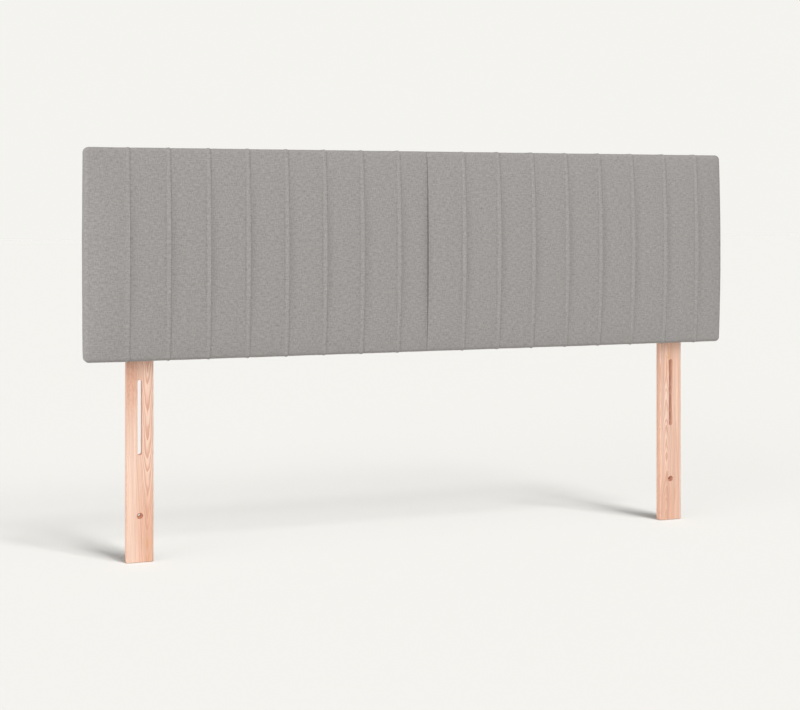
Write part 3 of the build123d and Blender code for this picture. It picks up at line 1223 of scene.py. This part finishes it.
@dataclass(frozen=True)
class WovenFabric:
    """Heathered grey woven fabric, on the cloth's own flat coordinates in metres."""

    colour: Colour = (0.3405, 0.3240, 0.3160)
    cool_shares: Triple = (0.982, 1.0, 0.99)
    cool_areas: Pattern = Pattern(40, 3)
    cool_span: Span = (0.5, 0.8)
    yarn: float = 1.05 * MM
    waver: float = 0.8 * MM
    wavering: Pattern = Pattern(60)
    weave_tone: float = 0.05
    level_slubs: Pattern = Pattern(430, 2, (0.24, 1.0, 1))
    upright_slubs: Pattern = Pattern(430, 2, (1.0, 0.32, 1), (3, 7, 0))
    blotches: Pattern = Pattern(260, 3, shift=(11, 2, 0))
    blotch_share: float = 0.3
    heather_tone: float = 0.58
    flecks: Pattern = Pattern(400, 1, (0.45, 1, 1), (5, 5, 0))
    fleck_span: Span = (0.66, 0.78)
    fleck_tone: float = 0.2
    relief: float = 0.12 * MM
    slub_relief: float = 0.7
    weave_relief: float = 0.4

    def material(self) -> bpy.types.Material:
        """Yarns as crossed waves, short light and dark slubs both ways, and soft blotches.

        Returns:
            The cover's material.
        """
        s = Shader("cover_fabric_woven")
        cloth = s.add("UVMap", uv_map="cloth")
        across, upward, _ = s.split(cloth)
        waver = s.times(s.noise(cloth, self.wavering), self.waver)
        weave = s.times(s.ripples(s.math("ADD", across, waver), self.yarn),
                        s.ripples(s.math("ADD", upward, waver), self.yarn))
        slubs = s.math("SUBTRACT", s.noise(cloth, self.level_slubs), 0.5)
        slubs = s.swayed(slubs, s.noise(cloth, self.upright_slubs), 1.0)
        heather = s.swayed(slubs, s.noise(cloth, self.blotches), self.blotch_share)
        flecks = s.span(s.noise(cloth, self.flecks), *self.fleck_span)
        tone = s.math("MULTIPLY_ADD", heather, self.heather_tone, 1.0)
        tone = s.math("MULTIPLY_ADD", weave, self.weave_tone, tone)
        tone = s.math("MULTIPLY_ADD", flecks, self.fleck_tone, tone)
        cooler = tuple(part * share for part, share in zip(self.colour, self.cool_shares))
        cool = s.span(s.noise(cloth, self.cool_areas), *self.cool_span)
        relief = s.math("MULTIPLY_ADD", heather, self.slub_relief, s.times(weave, self.weave_relief))
        s.bump(relief, self.relief, strength=0.6)
        return s.finish(Base_Color=s.tinted(s.mix(cool, self.colour, cooler), tone), Roughness=0.92,
                        Sheen_Weight=0.06, Sheen_Roughness=0.5, Specular_IOR_Level=0.15)


@dataclass(frozen=True)
class Mark:
    """A stain, streak, knot or patch of painted shade: its place across and along the board, its size
    and strength.
    """

    across: float
    along: float
    width: float
    length: float
    colour: Colour
    strength: float = 0.8
    waver: float = 3 * MM
    wavering: Pattern = Pattern(180)

    def wavered(self, s: Shader, place: Socket, across: Socket) -> Socket:
        """A place across the grain that wavers, for an uneven edge."""
        return s.swayed(across, s.noise(place, self.wavering), self.waver)

    def area(self, s: Shader, across: Socket, along: Socket) -> Socket:
        """How far the mark colours a place: one bell across the grain times one along it."""
        both = s.times(s.bell(across, self.across, self.width), s.bell(along, self.along, self.length))
        return s.times(both, self.strength)


@dataclass(frozen=True)
class Softwood:
    """Sawn or planed softwood, with rings round a pith that leans a little to the board.

    Where the pith lies close behind the board's face the rings run out as nested arches;
    further away they are straight lines, and on end grain they are arcs.
    """

    name: str
    grain: Grain
    pith: Span
    light: Colour
    warm: Colour
    late: Colour
    flush: Colour = (0.78, 0.44, 0.32)
    ring: float = 2.2 * MM
    taper: float = 0.048
    wandering: Pattern = Pattern(30, 2, (1, 1, 0.16))
    bend: float = 3.4 * MM
    rippling: Pattern = Pattern(75, 2, (1, 1, 0.4), (2, 0, 5))
    ripple: float = 3.0 * MM
    climbing: Pattern = Pattern(11)
    uneven: float = 0.16
    trembling: Pattern = Pattern(260, 2, (1, 1, 0.2))
    tremble: float = 0.35
    crowding: Pattern = Pattern(0.45, 1)
    crowded: float = 2.2
    late_start: Span = (0.25, 0.88)
    late_end: Span = (1.0, 0.93)
    arches_span: Span = (8 * MM, 26 * MM)
    quiet: float = 0.6
    strength: float = 0.85
    ring_choice: Pattern = Pattern(0.73, 0)
    ring_choice_span: Span = (0.42, 0.62)
    fill: float = 0.75
    warmth: Pattern = Pattern(16, 2, (1, 1, 0.3))
    warmth_span: Span = (0.35, 0.7)
    dashes: Pattern = Pattern(420, 2, (1, 1, 0.3))
    dash_span: Span = (0.42, 0.62)
    fibres: Pattern = Pattern(1100, 2, (1, 1, 0.03))
    fibre_tone: float = 0.22
    streaking: Pattern = Pattern(150, 2, (1, 1, 0.03), (4, 0, 2))
    streaks: float = 0.30
    shade: float = 1.0
    relief: float = 0.06 * MM
    late_relief: float = -0.5
    roughness: float = 0.5
    speckles: Mark | None = None
    marks: tuple[Mark, ...] = ()

    def noise(self, s: Shader, place: Socket, pattern: Pattern) -> Socket:
        """A pattern laid along this board's grain."""
        return s.noise(place, pattern.laid(self.grain))

    def ring_number(self, s: Shader, place: Socket, along: Socket, aside: Socket,
                    depth: Socket) -> Socket:
        """Number of the ring at each place, counted out from the pith.

        It is the distance from the wavering pith, less the board's climb along it, over the
        width of a ring, with a tremble and with rings that crowd in places.

        Args:
            s: The material under construction.
            place: Place on the board.
            along: Its part along the grain.
            aside: Its distance beside the pith.
            depth: Its part along Y.

        Returns:
            The ring's number, with the share of the ring behind its point.
        """
        bent = s.swayed(aside, self.noise(s, place, self.wandering), self.bend)
        bent = s.swayed(bent, self.noise(s, place, self.rippling), self.ripple)
        behind = s.math("SUBTRACT", depth, self.pith[1])
        radius = s.math("SQRT", s.math("MULTIPLY_ADD", bent, bent, s.times(behind, behind)))
        climb = s.math("MULTIPLY_ADD", self.noise(s, place, self.climbing), self.uneven, along)
        number = s.math("DIVIDE", s.math("MULTIPLY_ADD", climb, -self.taper, radius), self.ring)
        trembling = self.noise(s, place, self.trembling)
        number = s.math("MULTIPLY_ADD", trembling, self.tremble, number)
        crowding = s.noise(s.add("CombineXYZ", {0: number}), self.crowding)
        return s.math("MULTIPLY_ADD", crowding, self.crowded, number)

    def marked(self, s: Shader, colour: Socket, place: Socket, across: Socket,
               along: Socket) -> Socket:
        """The board's colour with its own speckles and marks.

        Args:
            s: The material under construction.
            colour: Colour of the wood so far.
            place: Place on the board.
            across: Its part across the grain.
            along: Its part along the grain.

        Returns:
            The colour with speckles and marks laid over it.
        """
        if self.speckles:
            dashes = s.span(self.noise(s, place, self.dashes), *self.dash_span)
            area = self.speckles.area(s, across, along)
            colour = s.mix(s.times(dashes, area), colour, self.speckles.colour)
        for mark in self.marks:
            area = mark.area(s, mark.wavered(s, place, across), along)
            colour = s.mix(area, colour, mark.colour)
        return colour

    def material(self) -> bpy.types.Material:
        """Rings, fibres, warm mottling, and this board's own speckles and marks.

        Returns:
            The board's material.
        """
        s = Shader(self.name)
        place = s.object_place()
        parts = s.split(place)
        along, across = parts[self.grain.value], parts[2 - self.grain.value]
        aside = s.math("SUBTRACT", across, self.pith[0])
        number = self.ring_number(s, place, along, aside, parts[1])
        phase = s.math("FRACT", number)
        near = s.span(s.math("ABSOLUTE", aside), *self.arches_span, 1.0, self.quiet)
        late = s.times(s.span(phase, *self.late_start), s.span(phase, *self.late_end))
        late = s.times(s.times(late, near), self.strength)
        chosen = s.noise(s.add("CombineXYZ", {0: s.math("FLOOR", number)}), self.ring_choice)
        fill = s.times(s.span(chosen, *self.ring_choice_span), s.times(near, phase))
        warmth = s.span(self.noise(s, place, self.warmth), *self.warmth_span)
        colour = s.mix(warmth, self.light, self.warm)
        colour = s.mix(s.times(fill, self.fill), colour, self.flush)
        colour = self.marked(s, s.mix(late, colour, self.late), place, across, along)
        fibres = self.noise(s, place, self.fibres)
        tone = s.swayed(self.shade, fibres, self.fibre_tone)
        tone = s.swayed(tone, self.noise(s, place, self.streaking), self.streaks)
        s.bump(s.math("MULTIPLY_ADD", late, self.late_relief, fibres), self.relief, strength=0.7)
        return s.finish(Base_Color=s.tinted(colour, tone), Roughness=self.roughness,
                        Specular_IOR_Level=0.3)


@dataclass(frozen=True)
class Steel:
    """Plated steel: cloudy zinc with fine scratches."""

    name: str
    colour: Colour
    roughness: float
    clouds: Pattern
    cloud_tone: float = 0.30
    cloud_roughness: float = 0.35
    scratches: Pattern = Pattern(1400, 2, (1, 1, 0.06))
    scratch_roughness: float = 0.15
    relief: float = 0.02 * MM
    cloud_relief: float = 0.5

    def material(self) -> bpy.types.Material:
        """Clouds of tone and roughness, scratches one way, and a faint relief.

        Returns:
            The metal's material.
        """
        s = Shader(self.name)
        place = s.object_place()
        clouds = s.noise(place, self.clouds)
        scratches = s.noise(place, self.scratches)
        tone = s.swayed(1.0, clouds, self.cloud_tone)
        rough = s.swayed(self.roughness, clouds, self.cloud_roughness)
        rough = s.swayed(rough, scratches, self.scratch_roughness)
        s.bump(s.math("MULTIPLY_ADD", clouds, self.cloud_relief, scratches), self.relief, strength=0.5)
        return s.finish(Base_Color=s.tinted(self.colour, tone), Roughness=rough, Metallic=1.0)


@dataclass(frozen=True)
class PressedBoard:
    """Brown hardboard of pressed fibres."""

    light: Colour = (0.42, 0.26, 0.145)
    dark: Colour = (0.25, 0.145, 0.08)
    fibres: Pattern = Pattern(500, 3, (0.2, 1, 1))
    fibre_span: Span = (0.15, 0.36)
    relief: float = 0.1 * MM

    def material(self) -> bpy.types.Material:
        """Short fibres lying both ways, in light and dark.

        Returns:
            The board's material.
        """
        s = Shader("hardboard_pressed")
        place = s.object_place()
        crossed = replace(self.fibres, stretch=self.fibres.stretch[::-1])
        fibres = s.times(s.noise(place, self.fibres), s.noise(place, crossed))
        s.bump(fibres, self.relief, strength=0.5)
        return s.finish(Base_Color=s.mix(s.span(fibres, *self.fibre_span), self.dark, self.light),
                        Roughness=0.7, Specular_IOR_Level=0.3)


@dataclass(frozen=True)
class CellFoam:
    """Cream upholstery foam with open cells."""

    colour: Colour = (0.80, 0.75, 0.60)
    cells: float = 800.0
    cell_tone: float = 0.35
    pit_tone: float = 0.78
    clouds: Pattern = Pattern(30)
    cloud_tone: float = 0.1
    relief: float = 0.4 * MM

    def material(self) -> bpy.types.Material:
        """Pits of a cell pattern, in colour and relief.

        Returns:
            The foam's material.
        """
        s = Shader("foam_cells")
        place = s.object_place()
        pits = s.add("TexVoronoi", {"Vector": place, "Scale": self.cells})
        tone = s.math("MULTIPLY_ADD", pits, self.cell_tone, self.pit_tone)
        tone = s.math("MULTIPLY_ADD", s.noise(place, self.clouds), self.cloud_tone, tone)
        s.bump(pits, self.relief, strength=0.6)
        return s.finish(Base_Color=s.tinted(self.colour, tone), Roughness=0.95,
                        Specular_IOR_Level=0.1)


@dataclass(frozen=True)
class SpunCloth:
    """Thin black spun-bonded cloth with small pressed dots."""

    colour: Colour = (0.024, 0.024, 0.026)
    dot_pitch: float = 1.7 * MM
    dot_span: Span = (0.35, 0.8)
    dot_tone: float = -0.35
    fibres: Pattern = Pattern(700, 3, (0.3, 1, 1))
    fibre_tone: float = 1.1
    relief: float = 0.12 * MM

    def material(self) -> bpy.types.Material:
        """Fibres that lie both ways, and dots where crossed slanting waves peak.

        Returns:
            The cloth's material.
        """
        s = Shader("backing_cloth_spun")
        place = s.object_place()
        across, _, upward = s.split(place)
        one = s.ripples(s.math("ADD", across, upward), self.dot_pitch)
        other = s.ripples(s.math("SUBTRACT", across, upward), self.dot_pitch)
        dots = s.span(s.times(one, other), *self.dot_span)
        crossed = replace(self.fibres, stretch=self.fibres.stretch[::-1])
        fibres = s.math("ADD", s.noise(place, self.fibres), s.noise(place, crossed))
        tone = s.math("MULTIPLY_ADD", fibres, self.fibre_tone, s.times(dots, self.dot_tone))
        s.bump(s.math("SUBTRACT", fibres, dots), self.relief, strength=0.7)
        return s.finish(Base_Color=s.tinted(self.colour, tone), Roughness=0.8,
                        Sheen_Weight=0.08, Specular_IOR_Level=0.3)


@dataclass(frozen=True)
class TwistedThread:
    """Grey sewing thread, twisted from plies."""

    colour: Colour = (0.15, 0.144, 0.14)
    ply: float = 0.7 * MM
    slant: float = 1.5
    ply_tone: float = 0.15
    relief: float = 0.05 * MM

    def material(self) -> bpy.types.Material:
        """Slanting plies in tone and relief.

        Returns:
            The thread's material.
        """
        s = Shader("seam_thread_twisted")
        across, _, upward = s.split(s.object_place())
        plies = s.ripples(s.math("MULTIPLY_ADD", across, self.slant, upward), self.ply)
        tone = s.math("MULTIPLY_ADD", plies, self.ply_tone, 1.0)
        s.bump(plies, self.relief, strength=0.8)
        return s.finish(Base_Color=s.tinted(self.colour, tone), Roughness=0.7,
                        Specular_IOR_Level=0.3)


@dataclass(frozen=True)
class Woods:
    """The finishes of the legs and of the frame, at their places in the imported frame."""

    pine_light: Colour = (0.82, 0.66, 0.43)
    pine_warm: Colour = (0.76, 0.56, 0.33)
    pine_late: Colour = (0.60, 0.38, 0.19)
    pine_pith: float = 14 * MM
    larch_light: Colour = (0.965, 0.70, 0.565)
    larch_warm: Colour = (0.935, 0.62, 0.47)
    larch_late: Colour = (0.72, 0.385, 0.275)
    larch_pale: Colour = (0.985, 0.765, 0.635)
    larch_flush: Colour = (0.77, 0.425, 0.295)
    # Colour of the painted shade on the legs' left side faces.
    larch_side_shade: Colour = (0.75, 0.42, 0.30)
    larch_red_and_shade: Colour = (0.62, 0.32, 0.235)
    larch_amber: Colour = (0.80, 0.42, 0.20)
    left_pith: Span = (43 * MM, 9 * MM)
    right_pith: Span = (17 * MM, 10 * MM)

    def painted_side_shade(self, left_x: float) -> Mark:
        """Painted shade: a darker tone on a leg's left side face, only as deep as its surface."""
        return Mark(left_x, 350 * MM, 0.8 * MM, 10.0, self.larch_side_shade, 0.8)

    def left_leg(self) -> bpy.types.Material:
        """Nested arches that point down in its right half; red speckles at its upper left, partly
        painted shade.

        Returns:
            The left leg's material.
        """
        low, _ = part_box("left_leg")
        x = low.x
        # The speckles and the flush just under the panel darken the leg's top: partly the wood's red
        # speckle, partly painted shade from the panel above.
        speckles = Mark(x + 10 * MM, 390 * MM, 13 * MM, 75 * MM, self.larch_red_and_shade, 1.0)
        marks = (Mark(x + 9 * MM, 100 * MM, 10 * MM, 190 * MM, self.larch_pale, 0.45),
                 # Flush just under the panel: partly the wood's own colour, partly painted shade from
                 # the panel.
                 Mark(x + 11 * MM, 375 * MM, 15 * MM, 70 * MM, self.larch_flush, 0.75),
                 Mark(x + 45 * MM, 50 * MM, 12 * MM, 90 * MM, self.larch_flush, 0.75),
                 # Painted shade on the leg's left side face.
                 self.painted_side_shade(x),
                 Mark(x + 17 * MM, 220 * MM, 1.3 * MM, 90 * MM, self.larch_pale, 0.7),
                 Mark(x + 31 * MM, 45 * MM, 0.8 * MM, 38 * MM, self.larch_late, 0.7),
                 Mark(x + 43 * MM, 38 * MM, 3.5 * MM, 11 * MM, self.larch_amber, 0.5),
                 Mark(x + 45 * MM, 10 * MM, 4 * MM, 8 * MM, self.larch_amber, 0.5))
        across, deep = self.left_pith
        return Softwood("left_leg_larch", Grain.UPRIGHT, (x + across, low.y + deep),
                        self.larch_light, self.larch_warm, self.larch_late,
                        speckles=speckles, marks=marks).material()

    def right_leg(self) -> bpy.types.Material:
        """Arches that point up in its left half, an amber streak by the sunk hole.

        Returns:
            The right leg's material.
        """
        low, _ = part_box("right_leg")
        x = low.x
        marks = (Mark(x + 38 * MM, 62 * MM, 3 * MM, 14 * MM, self.larch_amber, 0.5),
                 Mark(x + 19 * MM, 55 * MM, 6 * MM, 20 * MM, self.larch_late, 0.35),
                 Mark(x + 24 * MM, 370 * MM, 9 * MM, 30 * MM, self.larch_amber, 0.35),
                 Mark(x + 26 * MM, 30 * MM, 22 * MM, 95 * MM, self.larch_flush, 0.6),
                 # Painted shade on the leg's left side face.
                 self.painted_side_shade(x))
        across, deep = self.right_pith
        return Softwood("right_leg_larch", Grain.UPRIGHT, (x + across, low.y + deep),
                        self.larch_light, self.larch_warm, self.larch_late, taper=-0.055,
                        bend=5.0 * MM, strength=0.6, quiet=0.85, streaks=0.5, shade=0.95,
                        marks=marks).material()

    def frame_board(self, name: str, grain: Grain) -> bpy.types.Material:
        """Sawn pine, with its rings placed by the board's own box.

        Args:
            name: Name of the board's node.
            grain: Which way its grain runs.

        Returns:
            The board's material.
        """
        low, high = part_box(name)
        middle = (low + high) / 2
        pith = (middle.x if grain is Grain.UPRIGHT else middle.z, high.y + self.pine_pith)
        return Softwood(f"{name}_pine", grain, pith, self.pine_light, self.pine_warm,
                        self.pine_late, ring=3.0 * MM, taper=0.03, strength=0.6,
                        roughness=0.75).material()


@dataclass(frozen=True)
class Lamp:
    """A far, soft lamp.

    Its strength is the light on a face square to it, its angle how wide it looks from the
    object. It hangs so far to the right of straight ahead and so far above the floor.
    """

    name: str
    strength: float
    angle_deg: float
    aside_deg: float
    height_deg: float

    def hang(self) -> bpy.types.Object:
        """Add the lamp to the scene.

        Returns:
            The lamp's object.
        """
        lamp = bpy.data.lights.new(self.name, "SUN")
        lamp.energy = self.strength
        lamp.angle = math.radians(self.angle_deg)
        holder = bpy.data.objects.new(self.name, lamp)
        holder.rotation_euler = (math.radians(90 - self.height_deg), 0, math.radians(self.aside_deg))
        bpy.context.scene.collection.objects.link(holder)
        return holder


@dataclass
class Studio:
    """Camera, floor and light."""

    lens: float = 65.947
    sensor: float = 36.0
    camera_place: Triple = (-1.10904, -2.96808, 0.71985)
    camera_turn_deg: float = 19.578
    camera_shift: float = -0.18461
    backdrop: Colour = (0.9085, 0.9000, 0.8668)
    world_colour: Colour = (1.0, 0.995, 0.985)
    world_strength: float = 0.398
    floor_size: float = 60.0
    floor_colour: Colour = (0.4615, 0.4567, 0.4406)
    floor_bounce: float = 0.81
    fill: Lamp = Lamp("fill", 2.48, 75, -65, 11.3)
    keys: tuple[Lamp, ...] = (Lamp("key_high", 0.52, 8, 20, 57), Lamp("key", 0.31, 14, 20, 44),
                              Lamp("key_low", 0.30, 20, 20, 36.6))
    feet: tuple[Lamp, ...] = (Lamp("feet_aside", 0.75, 6, 37, 60), Lamp("feet_ahead", 0.70, 8, 22, 60),
                              Lamp("feet_high", 1.00, 10, 26, 72), Lamp("feet_steep", 1.28, 12, 14, 82))

    def camera(self) -> None:
        """Stand the camera where the reference view was taken, level and shifted down."""
        lens = bpy.data.cameras.new("camera")
        lens.lens = self.lens
        lens.sensor_width = self.sensor
        lens.shift_y = self.camera_shift
        camera = bpy.data.objects.new("camera", lens)
        camera.location = self.camera_place
        camera.rotation_euler = (math.pi / 2, 0, -math.radians(self.camera_turn_deg))
        bpy.context.scene.collection.objects.link(camera)
        bpy.context.scene.camera = camera

    def world(self) -> None:
        """Even pale light all round; the camera and reflections see the backdrop's colour."""
        world = bpy.data.worlds.new("studio")
        world.use_nodes = True
        bpy.context.scene.world = world
        s = Nodes(world.node_tree)
        light = s.add("Background", {0: full_colour(self.world_colour), 1: self.world_strength})
        shown = s.add("Background", {0: full_colour(self.backdrop), 1: 1.0})
        mix = s.add("MixShader", {0: s.seen(), 1: light, 2: shown})
        s.feed(s.tree.nodes.new("ShaderNodeOutputWorld").inputs["Surface"], mix)

    def feet_lamps(self, floor: bpy.types.Object) -> None:
        """Light the floor alone by lamps that only the legs shade, behind their feet.

        Args:
            floor: The floor that they light.
        """
        lit = bpy.data.collections.new("feet_lamps_light")
        lit.objects.link(floor)
        shading = bpy.data.collections.new("feet_lamps_shading")
        for side in Side:
            shading.objects.link(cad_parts[f"{side.name.lower()}_leg"])
        for lamp in self.feet:
            holder = lamp.hang()
            holder.light_linking.receiver_collection = lit
            holder.light_linking.blocker_collection = shading

    def floor(self) -> bpy.types.Object:
        """A wide matt floor, a little darker in the light that it throws back.

        Returns:
            The floor.
        """
        half = self.floor_size / 2
        corners = np.array([(-half, -half, 0), (half, -half, 0), (half, half, 0), (-half, half, 0)])
        floor = put_mesh("floor", corners, np.array([[0, 1, 2, 3]]))
        s = Shader("floor_matt")
        dim = tuple(self.floor_bounce * value for value in self.floor_colour)
        floor.data.materials.append(s.finish(
            Base_Color=s.mix(s.seen(), dim, self.floor_colour), Roughness=1.0,
            Specular_IOR_Level=0.0))
        return floor

    def build(self) -> None:
        """Set up the whole studio."""
        self.camera()
        self.world()
        for lamp in (self.fill, *self.keys):
            lamp.hang()
        self.feet_lamps(self.floor())
        bpy.context.scene.view_settings.view_transform = "Standard"


@dataclass
class Dressing:
    """Puts a finish on every piece of the frame that keeps its own shape."""

    woods: Woods
    steel: Steel = Steel("zinc_plate", (0.50, 0.51, 0.525), 0.36, Pattern(220, 3))
    wire: Steel = Steel("galvanised_wire", (0.46, 0.47, 0.48), 0.44, Pattern(500, 3))
    level: tuple[str, ...] = ("top_rail", "bottom_rail")
    upright: tuple[str, ...] = ("left_stile", "right_stile", "middle_upright", "left_leg_batten",
                                "right_leg_batten")
    zinc_ends: tuple[str, ...] = ("bolts", "nuts", "washers")
    wire_ends: tuple[str, ...] = ("staples", "fasteners")

    def finishes(self) -> dict[str, bpy.types.Material]:
        """The finish of each node that keeps its own shape.

        Returns:
            Materials by the nodes' names.
        """
        found = {"left_leg": self.woods.left_leg(), "right_leg": self.woods.right_leg(),
                 "facing_board": PressedBoard().material()}
        for grain, names in ((Grain.LEVEL, self.level), (Grain.UPRIGHT, self.upright)):
            found |= {name: self.woods.frame_board(name, grain) for name in names}
        for metal, ends in ((self.steel, self.zinc_ends), (self.wire, self.wire_ends)):
            plated = metal.material()
            found |= {name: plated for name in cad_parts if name.endswith(ends)}
        return found

    def apply(self) -> None:
        """Dress the nodes; those that a new piece stands for are left hidden as they are."""
        for name, material in self.finishes().items():
            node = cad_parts[name]
            node.data.materials.clear()
            node.data.materials.append(material)
            log.info("%s: %s", name, material.name)


def main() -> None:
    """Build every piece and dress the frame."""
    logging.basicConfig(level=logging.INFO, format="%(message)s")
    panel, tucks, sim = PanelSizes(), TuckSizes(), ClothSim()
    Studio().build()
    fabric = WovenFabric().material()
    for side in Side:
        CoverHalf(side, panel, tucks, sim).build().data.materials.append(fabric)
    FoamPad(panel, tucks).build().data.materials.append(CellFoam().material())
    BackingCloth().build().data.materials.append(SpunCloth().material())
    SeamThread(panel, tucks).build().data.materials.append(TwistedThread().material())
    Dressing(Woods()).apply()


if __name__ == "__main__":
    main()
